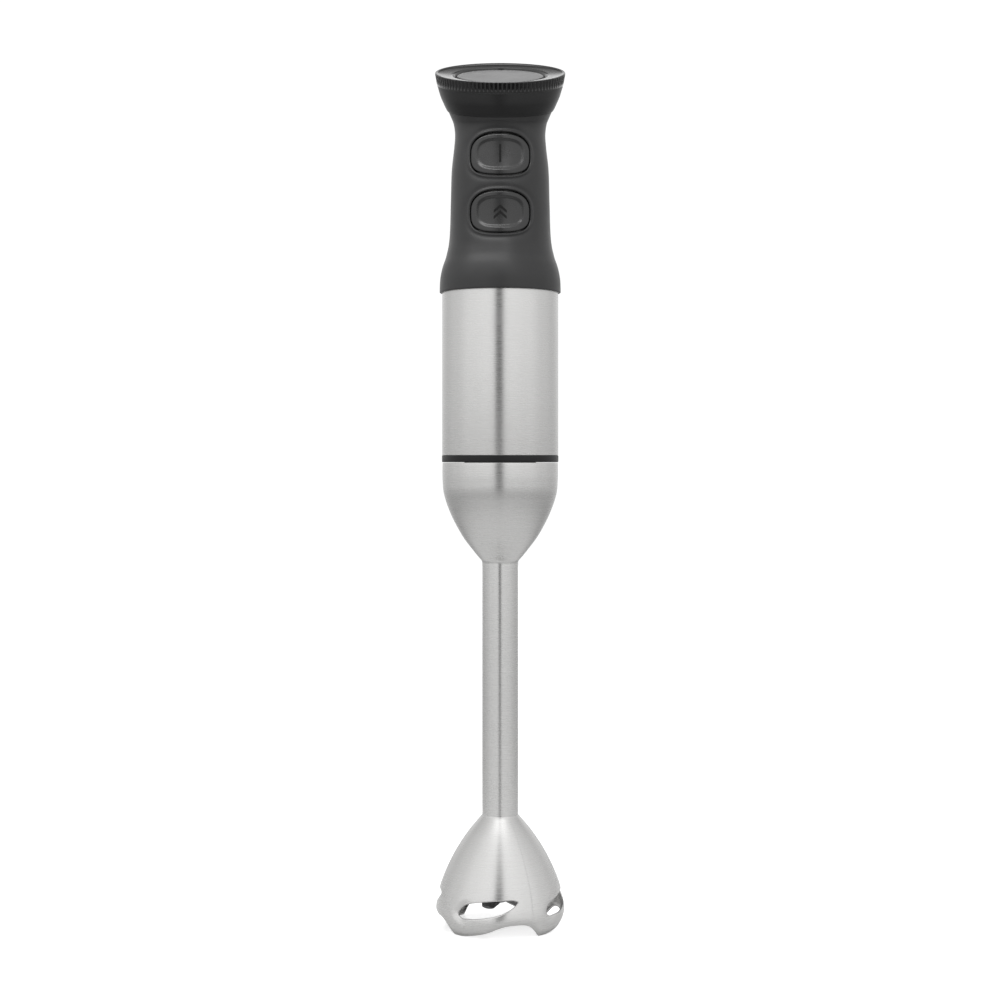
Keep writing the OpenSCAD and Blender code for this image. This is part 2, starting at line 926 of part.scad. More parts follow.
handle_front_shell();
handle_rear_shell();
dial_collar();
speed_dial_ring();
dial_disc();
dial_shaft();
potentiometer();
potentiometer_nut();
button(on_z);  // on_button
button(turbo_z);  // turbo_button
button_spring(on_z);  // on_button_spring
button_spring(turbo_z);  // turbo_button_spring
switch_body(on_z);  // on_switch
switch_body(turbo_z);  // turbo_switch
circuit_board();
board_screws();
triac();
heat_sink();
capacitor();
cord_inlet();
motor_sleeve();
base_ring();
bottom_cap();
coupling_o_ring();
lower_bracket();
upper_bracket();
lower_damper();
upper_damper();
motor_screws();
stator_core();
field_coil(-90);  // front_field_coil
field_coil(90);  // rear_field_coil
brush(-1);  // left_brush
brush(1);  // right_brush
brush_holder(-1);  // left_brush_holder
brush_holder(1);  // right_brush_holder
brush_spring(-1);  // left_brush_spring
brush_spring(1);  // right_brush_spring
motor_bush(z_low + 1);  // lower_motor_bush
motor_bush(z_top + 0.5);  // upper_motor_bush
motor_shaft();
armature_core();
armature_winding();
commutator();
cooling_fan();
motor_coupling();
stick_cone();
coupling_carrier();
upper_shaft_bush();
shaft_tube();
bearing_plug();
lower_shaft_bush();
shaft_seal();
blade_guard();
drive_shaft();
driven_coupling();
shaft_circlip();
blade_hub();
blade();
blade_nut();
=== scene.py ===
"""Looks of the immersion blender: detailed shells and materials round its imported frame."""
import json
import math

import bmesh
import bpy
import numpy as np
from mathutils import Matrix, Vector
from mathutils.geometry import delaunay_2d_cdt


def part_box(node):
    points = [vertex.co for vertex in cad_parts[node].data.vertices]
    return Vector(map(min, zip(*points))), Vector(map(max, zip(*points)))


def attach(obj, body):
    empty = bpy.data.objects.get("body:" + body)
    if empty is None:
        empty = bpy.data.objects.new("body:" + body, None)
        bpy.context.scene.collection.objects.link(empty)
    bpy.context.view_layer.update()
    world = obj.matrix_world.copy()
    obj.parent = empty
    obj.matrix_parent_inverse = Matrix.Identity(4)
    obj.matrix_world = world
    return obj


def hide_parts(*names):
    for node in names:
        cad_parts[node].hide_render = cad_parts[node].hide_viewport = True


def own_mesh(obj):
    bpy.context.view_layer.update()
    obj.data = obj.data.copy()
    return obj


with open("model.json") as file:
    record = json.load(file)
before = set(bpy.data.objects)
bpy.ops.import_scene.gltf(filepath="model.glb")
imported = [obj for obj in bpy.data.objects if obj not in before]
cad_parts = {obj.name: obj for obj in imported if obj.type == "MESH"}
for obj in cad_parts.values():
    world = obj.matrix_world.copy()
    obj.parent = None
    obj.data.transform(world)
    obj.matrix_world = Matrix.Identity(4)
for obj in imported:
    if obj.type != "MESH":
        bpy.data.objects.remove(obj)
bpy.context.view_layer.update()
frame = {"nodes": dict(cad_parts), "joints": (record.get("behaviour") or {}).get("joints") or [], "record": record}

MM = 0.001


# ---------------------------------------------------------------- places, in millimetres, from the frame
def low(node):
    """Lowest corner of a CAD node's box."""
    return np.array(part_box(node)[0]) / MM


def high(node):
    """Highest corner of a CAD node's box."""
    return np.array(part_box(node)[1]) / MM


JOINTS = {j["name"]: j for j in frame["joints"]}
Z_NECK = low("shaft_tube")[2]
Z_RING = low("base_ring")[2]
Z_SLEEVE = low("motor_sleeve")[2]
Z_GRIP = low("handle_front_shell")[2]
Z_PART = high("handle_front_shell")[2]
GRIP_H = Z_PART - Z_GRIP
BELL_R = (high("blade_guard")[0] - low("blade_guard")[0]) / 2
TUBE_R = high("shaft_tube")[0]
CONE_R = high("stick_cone")[0]
CONE_SKIRT = 2
CONE_H = Z_RING - low("stick_cone")[2] - CONE_SKIRT
Z_CONE = Z_RING - CONE_H
SLEEVE_R = high("motor_sleeve")[0]
RING_R = high("base_ring")[0]
DIAL_AT = np.array(JOINTS["dial_turn"]["pos_m"]) / MM
TILT = -math.asin(JOINTS["dial_turn"]["axis"][1])
ON_Z = (high("on_button")[2] + low("on_button")[2]) / 2
TURBO_Z = (high("turbo_button")[2] + low("turbo_button")[2]) / 2
INLET_Z = (high("cord_inlet")[2] + low("cord_inlet")[2]) / 2
WALL = 2.0


# ---------------------------------------------------------------- curves
def span(a, b, c, d, t):
    """The point at share t of the way from b to c on the curve through a, b, c and d."""
    return b + 0.5 * t * (c - a + t * (2 * a - 5 * b + 4 * c - d + t * (3 * b - a - 3 * c + d)))


def curve(points, steps):
    """Catmull-Rom curve through the points, with this many steps between neighbours."""
    p = np.array(points, float)
    last = len(p) - 1
    out = [span(p[max(i - 1, 0)], p[i], p[i + 1], p[min(i + 2, last)], k / steps)
           for i in range(last) for k in range(steps)]
    return np.array(out + [p[-1]])


def loop(points, steps):
    """The same through a closed line of points."""
    p = np.array(points, float)
    n = len(p)
    return np.array([span(p[i - 1], p[i], p[(i + 1) % n], p[(i + 2) % n], k / steps)
                     for i in range(n) for k in range(steps)])


def even(line, pitch):
    """Points set evenly along a closed line."""
    closed = np.vstack([line, line[:1]])
    way = np.concatenate([[0], np.cumsum(np.linalg.norm(np.diff(closed, axis=0), axis=1))])
    at = np.linspace(0, way[-1], max(12, round(way[-1] / pitch)), endpoint=False)
    return np.stack([np.interp(at, way, closed[:, i]) for i in range(2)], 1)


def grow(line, d):
    """A closed anticlockwise line moved outwards by d."""
    run = np.roll(line, -1, 0) - np.roll(line, 1, 0)
    out = np.stack([run[:, 1], -run[:, 0]], 1)
    return line + d * out / np.linalg.norm(out, axis=1)[:, None]


def distance(points, line, reach=7.0):
    """Shortest way from each point to a closed line, negative inside it, and never more than reach."""
    near = ((points > line.min(0) - reach) & (points < line.max(0) + reach)).all(1)
    p, a, b = points[near][:, None], line[None], np.roll(line, -1, 0)[None]
    ab = b - a
    t = np.clip(((p - a) * ab).sum(-1) / (ab ** 2).sum(-1), 0, 1)
    d = np.linalg.norm(p - a - ab * t[..., None], axis=2).min(1)
    rise = np.where(ab[..., 1] == 0, 1e-12, ab[..., 1])
    cross = (a[..., 1] > p[..., 1]) != (b[..., 1] > p[..., 1])
    left = p[..., 0] < a[..., 0] + (p[..., 1] - a[..., 1]) / rise * ab[..., 0]
    out = np.full(len(points), reach)
    out[near] = np.where((cross & left).sum(1) % 2 == 1, -d, np.minimum(d, reach))
    return out


def fillet(corners, steps=4):
    """Closed line with rounded corners: each is (x, y, radius)."""
    out = []
    for i, (x, y, r) in enumerate(corners):
        p = np.array([x, y])
        a = np.array(corners[i - 1][:2]) - p
        b = np.array(corners[(i + 1) % len(corners)][:2]) - p
        if not r:
            out.append(p)
            continue
        cut = min(r, 0.45 * np.linalg.norm(a), 0.45 * np.linalg.norm(b))
        p0 = p + a / np.linalg.norm(a) * cut
        p1 = p + b / np.linalg.norm(b) * cut
        out += [(1 - t) ** 2 * p0 + 2 * t * (1 - t) * p + t * t * p1 for t in np.linspace(0, 1, steps + 1)]
    return np.array(out)


def ease(x, a, b):
    """0 before a, 1 after b, smooth between."""
    t = np.clip((np.asarray(x, float) - a) / (b - a), 0, 1)
    return t * t * (3 - 2 * t)


# ---------------------------------------------------------------- meshes
WELD = 2e-7


def make(name, verts, faces, body, slot, stands_for=(), sharp=40, look=None):
    """One piece from points in millimetres, riding on a body, in its slot's finish or a look of its own."""
    mesh = bpy.data.meshes.new(name)
    mesh.from_pydata([tuple(float(c) * MM for c in v) for v in verts], [], [tuple(f) for f in faces])
    bm = bmesh.new()
    bm.from_mesh(mesh)
    bmesh.ops.remove_doubles(bm, verts=bm.verts, dist=WELD)
    bmesh.ops.recalc_face_normals(bm, faces=bm.faces)
    for f in bm.faces:
        f.smooth = True
    bm.to_mesh(mesh)
    bm.free()
    mesh.set_sharp_from_angle(angle=math.radians(sharp))
    obj = bpy.data.objects.new(name, mesh)
    bpy.context.collection.objects.link(obj)
    mesh.materials.append(look or MATERIALS[slot])
    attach(obj, body)
    if stands_for:
        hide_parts(*stands_for)
    return obj


def lathe(line, turns):
    """Points and faces of a closed line of (radius, height) swept round the axis."""
    a = np.linspace(0, 2 * math.pi, turns, endpoint=False)
    r, z = np.array(line).T
    verts = np.stack([np.outer(np.cos(a), r), np.outer(np.sin(a), r), np.tile(z, (turns, 1))], 2)
    return verts.reshape(-1, 3), rows(turns, len(r))


def rows(n, m, closed=True):
    """Quads between n sections of m points, each a closed line. If closed, the last one joins the first."""
    faces = []
    for j in range(n if closed else n - 1):
        for k in range(m):
            a, b = j * m + k, j * m + (k + 1) % m
            c, d = ((j + 1) % n) * m + (k + 1) % m, ((j + 1) % n) * m + k
            faces.append((a, d, c, b))
    return faces


def join(*parts):
    """Several point and face lists as one."""
    verts, faces = [], []
    for v, f in parts:
        faces += [tuple(i + len(verts) for i in q) for q in f]
        verts += [tuple(p) for p in v]
    return verts, faces


def triangles(points, lines, keep):
    """Triangles over flat points, with the closed lines of point numbers held as edges."""
    edges = [(a, b) for line in lines for a, b in zip(line, line[1:] + line[:1])]
    result = delaunay_2d_cdt([Vector(p) for p in points], edges, [], 0, 1e-6)
    faces, origin = result[2], result[3]
    number = [o[0] if o else -1 for o in origin]
    tri = np.array([[number[i] for i in f] for f in faces if len(f) == 3])
    tri = tri[(tri >= 0).all(1)]
    tri = tri[keep(points[tri].mean(1))]
    p = points[tri]
    u, v = p[:, 1] - p[:, 0], p[:, 2] - p[:, 0]
    area = u[:, 0] * v[:, 1] - u[:, 1] * v[:, 0]
    real = abs(area) > 1e-9
    tri = tri[real]
    turned = area[real] < 0
    tri[turned] = tri[turned][:, ::-1]
    return tri


def sheet(outer, inner, tri, edge_rows=1, bulge=0.0):
    """Closed solid between two skins over the same triangles, with free edges rounded by bulge."""
    n = len(outer)
    faces = [tuple(t) for t in tri] + [tuple(t[::-1] + n) for t in tri]
    verts = [*outer, *inner]
    sides = {}
    for t in tri:
        for a, b in ((t[0], t[1]), (t[1], t[2]), (t[2], t[0])):
            sides[(a, b)] = True
    border = [e for e in sides if (e[1], e[0]) not in sides]
    after = {a: b for a, b in border}
    before = {b: a for a, b in border}
    column = {}
    for a in after:
        run = outer[after[a]] - outer[before.get(a, a)]
        side = np.cross(run, outer[a] - inner[a])
        size = np.linalg.norm(side)
        side = side / size if size else side
        column[a] = [a]
        for k in range(1, edge_rows):
            t = k / edge_rows
            mid = outer[a] + (inner[a] - outer[a]) * (1 - math.cos(math.pi * t)) / 2
            column[a].append(len(verts))
            verts.append(mid + side * bulge * math.sin(math.pi * t))
        column[a].append(a + n)
    for a, b in border:
        if b in column:
            for k in range(edge_rows):
                faces.append((column[b][k], column[a][k], column[a][k + 1], column[b][k + 1]))
    return verts, faces


def ticks(a, b, pitch, near=()):
    """Grid lines from a to b, closer together near the two ends."""
    inner = np.linspace(a, b, max(3, round((b - a) / pitch)))
    reach = max(near, default=0) + 0.4 * pitch
    inner = inner[(inner > a + reach) & (inner < b - reach)]
    return np.array(sorted({a, b, *inner, *(a + d for d in near), *(b - d for d in near)}))


# ---------------------------------------------------------------- materials
# Sockets of a Mix node for colours
MIX_A, MIX_B, MIX_OUT = 6, 7, 2


class Nodes:
    """A material's node tree, with short names for the nodes used here."""

    def __init__(self, name):
        """A new material with its shader, and the object's own coordinates as its place."""
        self.material = bpy.data.materials.new(name)
        self.material.use_nodes = True
        self.tree = self.material.node_tree
        self.shader = self.tree.nodes["Principled BSDF"]
        self.place = self.add("ShaderNodeTexCoord").outputs["Object"]

    def add(self, kind, **settings):
        """A new node with these settings."""
        node = self.tree.nodes.new(kind)
        for key, value in settings.items():
            setattr(node, key, value)
        return node

    def link(self, a, b):
        """Output a into input b."""
        self.tree.links.new(a, b)

    def set(self, **values):
        """Constants on the shader's own sockets, with _ for each space in a name."""
        for key, value in values.items():
            self.shader.inputs[key.replace("_", " ")].default_value = value

    def noise(self, scale, stretch=(1, 1, 1), detail=3.0, rough=0.55):
        """Noise with scale features per metre, squeezed by stretch along the axes."""
        move = self.add("ShaderNodeMapping")
        move.inputs["Scale"].default_value = stretch
        self.link(self.place, move.inputs["Vector"])
        node = self.add("ShaderNodeTexNoise")
        node.inputs["Scale"].default_value = scale
        node.inputs["Detail"].default_value = detail
        node.inputs["Roughness"].default_value = rough
        self.link(move.outputs["Vector"], node.inputs["Vector"])
        return node.outputs["Fac"]

    def spread(self, value, a, b, start=0.3, stop=0.7):
        """Value's range from start to stop, carried to a to b."""
        node = self.add("ShaderNodeMapRange")
        for key, number in (("From Min", start), ("From Max", stop), ("To Min", a), ("To Max", b)):
            node.inputs[key].default_value = number
        self.link(value, node.inputs["Value"])
        return node.outputs["Result"]

    def tint(self, value, dark, light):
        """Colour from dark to light by value."""
        node = self.add("ShaderNodeMix", data_type="RGBA")
        node.inputs[MIX_A].default_value = (*dark, 1)
        node.inputs[MIX_B].default_value = (*light, 1)
        self.link(value, node.inputs["Factor"])
        return node.outputs[MIX_OUT]

    def add_up(self, a, b, share):
        """A share of a, plus b."""
        node = self.add("ShaderNodeMath", operation="MULTIPLY_ADD")
        node.inputs[1].default_value = share
        self.link(a, node.inputs[0])
        self.link(b, node.inputs[2])
        return node.outputs[0]

    def bump(self, value, height):
        """Relief of the surface, height metres for a value of 1."""
        node = self.add("ShaderNodeBump")
        node.inputs["Strength"].default_value = 1.0
        node.inputs["Distance"].default_value = height
        self.link(value, node.inputs["Height"])
        self.link(node.outputs["Normal"], self.shader.inputs["Normal"])

    def into(self, value, socket):
        """Value into one of the shader's inputs."""
        self.link(value, self.shader.inputs[socket])


def shades(colour, spread):
    """A darker and a lighter version of a colour."""
    return [c * (1 - spread) for c in colour], [min(1, c * (1 + spread)) for c in colour]


def moulded(name, colour, rough, grain=3200, height=6e-6, spread=0.12, **values):
    """Plastic or rubber: eroded grain, slow drift of tone and gloss."""
    m = Nodes(name)
    slow, fine = m.noise(70, detail=4), m.noise(grain, detail=2)
    m.into(m.tint(m.spread(slow, 0, 1), *shades(colour, spread)), "Base Color")
    m.into(m.spread(m.add_up(fine, slow, 0.5), rough - 0.06, rough + 0.07, 0.5, 1.0), "Roughness")
    m.bump(fine, height)
    m.set(**values)
    return m.material


def brushed(name, colour, rough, around=True, **values):
    """Steel with fine lines round the axis, or cut lines along it."""
    m = Nodes(name)
    squeeze = (0.012, 0.012, 1) if around else (1, 1, 0.02)
    fine = m.noise(9000, squeeze, detail=4, rough=0.65)
    broad = m.noise(1500, squeeze, detail=3)
    slow = m.noise(45, detail=3)
    both = m.add_up(fine, broad, 0.8)
    m.into(m.tint(m.spread(both, 0, 1, 0.6, 1.2), *shades(colour, 0.022)), "Base Color")
    m.into(m.spread(m.add_up(slow, both, 0.6), rough - 0.03, rough + 0.05, 0.8, 1.6), "Roughness")
    m.bump(m.add_up(fine, broad, 0.3), 3.2e-7)
    tangent = m.add("ShaderNodeTangent", direction_type="RADIAL", axis="Z")
    m.into(tangent.outputs["Tangent"], "Tangent")
    m.set(Metallic=1.0, Anisotropic=0.7 if around else 0.0, Anisotropic_Rotation=0.25, **values)
    return m.material


def metal(name, colour, rough, grain=1800, height=4e-6, **values):
    """Bare metal, cast or rolled, with an even grain."""
    m = Nodes(name)
    slow, fine = m.noise(90, detail=4), m.noise(grain, detail=3)
    m.into(m.tint(m.spread(slow, 0, 1), *shades(colour, 0.1)), "Base Color")
    m.into(m.spread(fine, rough - 0.06, rough + 0.08), "Roughness")
    m.bump(fine, height)
    m.set(Metallic=1.0, **values)
    return m.material


def layered(name, colour, rough, pitch, metallic):
    """Stacked sheets or wound wire: fine bands along the axis."""
    m = Nodes(name)
    bands = m.add("ShaderNodeTexWave", wave_type="BANDS", bands_direction="Z")
    bands.inputs["Scale"].default_value = 0.314 / pitch
    bands.inputs["Distortion"].default_value = 0.4
    m.link(m.place, bands.inputs["Vector"])
    slow = m.noise(400)
    tone = m.spread(m.add_up(bands.outputs["Fac"], slow, 0.5), 0, 1, 0.3, 1.1)
    m.into(m.tint(tone, *shades(colour, 0.25)), "Base Color")
    m.into(m.spread(slow, rough - 0.05, rough + 0.1), "Roughness")
    m.bump(bands.outputs["Fac"], 3e-5)
    m.set(Metallic=metallic)
    return m.material


# One for each material slot of the record
MATERIALS = {
    "soft_touch": moulded("soft_touch", (0.02, 0.02, 0.0205), 0.38, height=4e-6, Specular_IOR_Level=0.42),
    "button_plastic": moulded("button_plastic", (0.013, 0.013, 0.0133), 0.27, grain=4200, height=2e-6,
                              Specular_IOR_Level=0.6),
    "dial_black": moulded("dial_black", (0.006, 0.006, 0.0062), 0.2, grain=4200, height=1.5e-6,
                          Specular_IOR_Level=0.1, Coat_Weight=1.0, Coat_Roughness=0.07),
    "dial_gloss": moulded("dial_gloss", (0.06, 0.06, 0.061), 0.16, grain=2500, height=1e-6,
                          Specular_IOR_Level=0.3, Coat_Weight=0.4, Coat_Roughness=0.06),
    "black_plastic": moulded("black_plastic", (0.012, 0.012, 0.0125), 0.4, Specular_IOR_Level=0.25),
    "grey_plastic": moulded("grey_plastic", (0.13, 0.13, 0.135), 0.45),
    "cast_alloy": metal("cast_alloy", (0.5, 0.5, 0.51), 0.5, grain=900, height=3e-5),
    "brushed_steel": brushed("brushed_steel", (0.615, 0.612, 0.605), 0.27),
    # The blade steel's colour is far darker than the bell's steel: painted shade for the blade inside the bell.
    "blade_steel": brushed("blade_steel", (0.2, 0.2, 0.205), 0.34, around=False),
    "plain_steel": metal("plain_steel", (0.5, 0.5, 0.51), 0.3),
    "spring_steel": metal("spring_steel", (0.55, 0.55, 0.56), 0.22),
    "rubber": moulded("rubber", (0.013, 0.013, 0.013), 0.62, grain=2200, height=1.2e-5,
                      Specular_IOR_Level=0.2),
    "lamination": layered("lamination", (0.3, 0.3, 0.31), 0.4, 0.0006, 1.0),
    "copper": layered("copper", (0.6, 0.27, 0.12), 0.3, 0.0007, 0.8),
    "bronze": metal("bronze", (0.5, 0.34, 0.18), 0.42, grain=2600, height=1e-5),
    "brass": metal("brass", (0.66, 0.5, 0.24), 0.28),
    "carbon": moulded("carbon", (0.035, 0.035, 0.036), 0.55, grain=1800, height=2e-5),
    "aluminium": metal("aluminium", (0.68, 0.68, 0.69), 0.35),
    "zinc_case": metal("zinc_case", (0.45, 0.45, 0.46), 0.38),
    "board": moulded("board", (0.04, 0.2, 0.09), 0.3, grain=1500, height=1e-5),
    "film_case": moulded("film_case", (0.6, 0.45, 0.08), 0.3),
}
for part in frame["record"]["subparts"]:
    for holder in frame["nodes"][part["node"]].material_slots:
        holder.link = "OBJECT"
        holder.material = MATERIALS[part["material_slot"]]


# ---------------------------------------------------------------- steel sleeve, ring, cone and tube
def shell_line(outer, wall):
    """Closed line of a thin turned shell from its outer line, lowest point first."""
    run = np.gradient(outer, axis=0)
    normal = np.stack([-run[:, 1], run[:, 0]], 1) / np.linalg.norm(run, axis=1)[:, None]
    inner = outer + normal * wall
    return np.vstack([outer, inner[::-1]])


ROUND = 256
sleeve_in = SLEEVE_R - 0.6
sleeve_low = Z_SLEEVE + 0.05
sleeve_top = high("motor_sleeve")[2]
sleeve = fillet([(SLEEVE_R, sleeve_low, 0.25), (SLEEVE_R, sleeve_top, 0.1),
                 (sleeve_in, sleeve_top, 0.1), (sleeve_in, sleeve_low, 0.1)])
make("steel_sleeve", *lathe(sleeve, ROUND), "motor_unit", "brushed_steel", ["motor_sleeve"])

ring_in = 17.0
ring_low = Z_RING + 0.12
ring = fillet([(RING_R, ring_low, 0.5), (RING_R, Z_SLEEVE, 0.35),
               (ring_in, Z_SLEEVE, 0), (ring_in, ring_low, 0)])
make("black_ring", *lathe(ring, ROUND), "motor_unit", "black_plastic", ["base_ring"])

cone_line = curve([(r * CONE_R, Z_CONE + h * CONE_H) for r, h in (
    (0.3115, -0.043), (0.313, -0.01), (0.33, 0.012), (0.38, 0.045), (0.47, 0.11), (0.66, 0.26), (0.85, 0.47),
    (0.97, 0.67), (0.998, 0.82), (1, 0.97), (0.994, 0.998))], 8)
CONE_WALL = 0.7
make("steel_cone", *lathe(shell_line(cone_line, CONE_WALL), ROUND), "stick", "brushed_steel", ["stick_cone"])

tube_in = TUBE_R - 0.8
tube_low = Z_NECK + 0.15
tube_top = high("shaft_tube")[2]
tube = [(TUBE_R, tube_low), (TUBE_R, tube_top), (tube_in, tube_top), (tube_in, tube_low)]
make("steel_tube", *lathe(tube, 128), "stick", "brushed_steel", ["shaft_tube"])

# ---------------------------------------------------------------- bell
# The bell is drawn flat, as a sheet with x along the waist and y up, and then rolled round the axis.
BELL_H = Z_NECK
BELL_WALL = 1.0
PER_DEGREE = math.radians(1) * 0.95 * BELL_R
bell_curve = curve([(h * BELL_H, r * BELL_R) for r, h in (
    (0.935, 0), (0.968, 0.055), (0.99, 0.115), (1, 0.175), (0.982, 0.26), (0.933, 0.37), (0.823, 0.53),
    (0.679, 0.69), (0.495, 0.85), (0.28, 1))], 12)
SLOTS = 4
# The front slot's outline and one rim arch: degrees from the front, and height as a share of the bell's
SLOT = even(loop([(az, z * BELL_H) for az, z in (
    (-42, 0.2), (-37.5, 0.166), (-29.5, 0.171), (-19.6, 0.181), (-1.4, 0.217), (10.4, 0.272), (16.2, 0.318),
    (15.2, 0.329), (10.4, 0.338), (-3, 0.334), (-19.6, 0.317), (-31.6, 0.291), (-38.5, 0.257))], 6), 0.45)
ARCHES = 4
ARCH = curve([(az, z * BELL_H) for az, z in (
    (-41, 0), (-35, 0.006), (-28, 0.017), (-20, 0.032), (-13, 0.05), (-8, 0.069), (-3, 0.09), (4, 0.112),
    (10, 0.121), (16, 0.124), (22, 0.121), (27, 0.108), (31, 0.085), (35, 0.05), (38, 0.02), (40.5, 0))], 6)
# Where the sheet's two ends meet, in degrees from the front
SEAM = 30.0
# How far the rim and the slots' edges curl inwards
CURL, CURL_REACH = 0.95, 3.2
SLOT_CURL, TAIL_CURL = 0.12, 0.9
# Rings of points round a slot, rows of points above the rim, and columns round the bell
SLOT_RINGS = (0.0, 0.15, 0.4, 0.8, 1.3, 1.9, 2.6)
RIM_ROWS = (0, 0.2, 0.5, 0.9, 1.4, 2.0, 2.7, 3.5)
BELL_ROWS, BELL_COLUMNS = 46, 520


def rim_z(az):
    """Height of the rim at an angle from the front."""
    period = 360 / ARCHES
    local = (np.asarray(az, float) + period / 2) % period - period / 2
    return np.interp(local, ARCH[:, 0], ARCH[:, 1], left=0, right=0)


def bell_skin(points, dive):
    """Points of the flat sheet rolled round the axis, dive mm inside the outer curve."""
    az = np.radians(points[:, 0] / PER_DEGREE)
    z = points[:, 1]
    r = np.interp(z, bell_curve[:, 0], bell_curve[:, 1]) - dive
    return np.stack([r * np.sin(az), -r * np.cos(az), z], 1)


def bell():
    """The slotted bell with its arched rim and rounded edges."""
    edge = BELL_WALL / 2
    slot_lines = []
    for k in range(SLOTS):
        line = SLOT * [PER_DEGREE, 1] - [360 / SLOTS * k * PER_DEGREE, 0]
        slot_lines.append(line)
    points, held, taken = [], [], 0
    for line in slot_lines:
        for d in SLOT_RINGS:
            ring = grow(line, edge + d)
            if d == 0:
                held.append(list(range(taken, taken + len(ring))))
            points.append(ring)
            taken += len(ring)
    columns = np.linspace(SEAM - 360, SEAM, BELL_COLUMNS) * PER_DEGREE
    top = BELL_H - edge
    heights = np.concatenate([RIM_ROWS, np.linspace(4.5, top, BELL_ROWS)])
    rim = rim_z(columns / PER_DEGREE) + edge
    grid = np.array([(u, r + h * (BELL_H - r) / top) for u, r in zip(columns, rim) for h in heights])
    clear = np.min([distance(grid, line) for line in slot_lines], axis=0)
    number = np.arange(len(grid)).reshape(len(columns), len(heights))
    border = [*number[:, 0], *number[-1, 1:-1], *number[::-1, -1], *number[0, -2:0:-1]]
    kept = clear > edge + SLOT_RINGS[-1] + 0.45
    kept[border] = True
    place = np.cumsum(kept) - 1 + taken
    points = np.vstack(points + [grid[kept]])
    held.append([int(place[i]) for i in border])

    def keep(centre):
        """True above the rim and outside the slots."""
        good = centre[:, 1] > np.interp(centre[:, 0], columns, rim)
        for line in held[:-1]:
            good &= distance(centre, points[line]) > 0
        return good

    tri = triangles(points, held, keep)
    az = points[:, 0] / PER_DEGREE
    from_rim = points[:, 1] - rim_z(az)
    dive = CURL * np.clip(1 - from_rim / CURL_REACH, 0, 1) ** 2
    for line in slot_lines:
        d = distance(points, line) - edge
        tail = ease(line[:, 0].min() + 9 - points[:, 0], 0, 8) * (abs(points[:, 0] - line[:, 0].mean()) < 22)
        dive += (SLOT_CURL + TAIL_CURL * tail) * np.clip(1 - d / SLOT_RINGS[-1], 0, 1) ** 1.5
    outer = bell_skin(points, dive)
    inner = bell_skin(points, dive + BELL_WALL)
    return sheet(outer, inner, tri, 5, edge)


make("bell", *bell(), "stick", "brushed_steel", ["blade_guard"], sharp=60)

# ---------------------------------------------------------------- blade
BLADE_Z = high("blade_nut")[2]
BLADE_T = 1.2
BLADE_TURN = math.radians(-15)
BEND = math.radians(13)
# How far from the axis a wing bends, and how thick its ground edge is
BEND_AT = 5
KEEN_T = 0.25
WING = fillet([(-4, 1, 0), (-4, 14.4, 1.5), (-0.8, 16.4, 1.2), (2.2, 16.2, 1.4), (4, 9.5, 1.5), (4, 1, 0)], 5)


def wing(lean, turn):
    """One wing, ground to an edge on its right side, bent by lean near the hub and turned round the axis."""
    n = len(WING)
    keen = ease(WING[:, 0], -1, 3.4) * ease(WING[:, 1], 0.9, 2.5)
    top = np.stack([WING[:, 0] - 1.1 * keen, WING[:, 1] - 0.5 * keen, np.full(n, BLADE_T)], 1)
    side = np.stack([WING[:, 0], WING[:, 1], KEEN_T + (BLADE_T - KEEN_T) * (1 - keen) * 0.96], 1)
    foot = np.stack([WING[:, 0], WING[:, 1], np.zeros(n)], 1)
    verts = np.vstack([top, side, foot])
    out = []
    for x, y, z in verts:
        far = y * math.cos(lean) - z * math.sin(lean) + BEND_AT
        rise = y * math.sin(lean) + z * math.cos(lean)
        out.append((x * math.cos(turn) + far * math.sin(turn), x * math.sin(turn) - far * math.cos(turn),
                    BLADE_Z + rise))
    faces = [tuple(range(n)), tuple(range(3 * n - 1, 2 * n - 1, -1))]
    for k in range(n):
        j = (k + 1) % n
        faces += [(k, n + k, n + j, j), (n + k, 2 * n + k, 2 * n + j, n + j)]
    return out, faces


blade_top = BLADE_Z + BLADE_T
hub_ring = fillet([(2.6, BLADE_Z, 0), (6.5, BLADE_Z, 0.2), (6.5, blade_top, 0.2), (2.6, blade_top, 0)])
middle = lathe(hub_ring, 96)
make("ground_blade", *join(middle, wing(-BEND, BLADE_TURN), wing(BEND, BLADE_TURN + math.pi)),
     "blade_drive", "blade_steel", ["blade"], sharp=25)

# ---------------------------------------------------------------- grip
# Each row: radius in mm, share of the grip's height, lean of the circle in degrees
grip_curve = curve([(Z_GRIP + f * GRIP_H, r, t) for r, f, t in (
    (28.7, 0, 0), (28.45, 0.072, 0), (27.35, 0.138, 0), (25.5, 0.203, 0), (24, 0.302, 0), (23.4, 0.5, 0),
    (23, 0.665, 0), (21.8, 0.796, 0), (21.4, 0.865, 0), (21.95, 0.922, 6), (22.9, 0.954, 11),
    (24.6, 1, math.degrees(TILT) - 3))], 10)
# Millimetres for each degree round the grip, where its half shells are drawn flat
GRIP_MM = math.radians(1) * 23.5


def grip_r(t):
    """Radius of the grip at a height."""
    return np.interp(t, grip_curve[:, 0], grip_curve[:, 1])


def grip_skin(phi, t, inset):
    """Points of the grip: phi is degrees from the front, t the height of the tilted circle's centre."""
    r = grip_r(t) - inset
    lean = np.radians(np.interp(t, grip_curve[:, 0], grip_curve[:, 2]))
    a = np.radians(phi - 90)
    return np.stack([r * np.cos(a), r * np.sin(a) * np.cos(lean), t + r * np.sin(a) * np.sin(lean)], 1)


BUTTON_W, BUTTON_H = 27.3, 19.0
# Between a button's edge and its hole
GAP = 0.7


